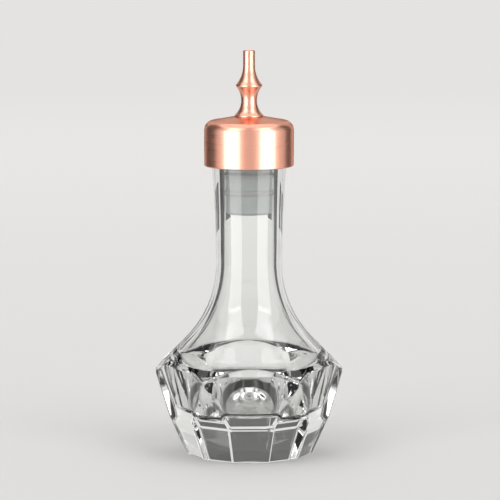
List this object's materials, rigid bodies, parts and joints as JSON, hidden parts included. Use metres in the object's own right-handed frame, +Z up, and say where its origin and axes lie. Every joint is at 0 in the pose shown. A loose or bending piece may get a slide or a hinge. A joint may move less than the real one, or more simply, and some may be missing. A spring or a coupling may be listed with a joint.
{
  "type": "bitters bottle",
  "caption": "Clear cut-glass bitters bottle with a solid faceted foot, a slim neck and a pull-out copper-plated dasher top with a turned spout.",
  "frame": {"origin": "centre of the foot's underside, on the table", "axes": "+Z up along the bottle's axis, -Y the side that faces the camera, with a main facet square to it"},
  "size_m": [0.0603, 0.0528, 0.1284],
  "materials": {
    "flint_glass": "clear, fire polished",
    "copper_plate": "rose copper plate, satin polished",
    "steel": "turned",
    "silicone": "matt, milky",
    "natural_plastic": "milky, moulded"
  },
  "bodies": {
    "bottle": {"glass_bottle": "flint_glass"},
    "lip_seal": {"lip_gasket": "silicone"},
    "dasher_top": {"cap_shell": "copper_plate", "dasher_spout": "copper_plate", "spout_washer": "silicone", "spout_nut": "steel", "stopper_core": "natural_plastic", "dash_insert": "natural_plastic", "seal_ring_upper": "silicone", "seal_ring_middle": "silicone", "seal_ring_lower": "silicone"}
  },
  "joints": [
    {"name": "top_lift", "type": "slide", "parent": "bottle", "child": "lip_seal", "axis": [0, 0, 1], "range_m": [0, 0.06]},
    {"name": "top_turn", "type": "hinge", "parent": "lip_seal", "child": "dasher_top", "pos_m": [0, 0, 0.1008], "axis": [0, 0, 1], "continuous": true}
  ]
}
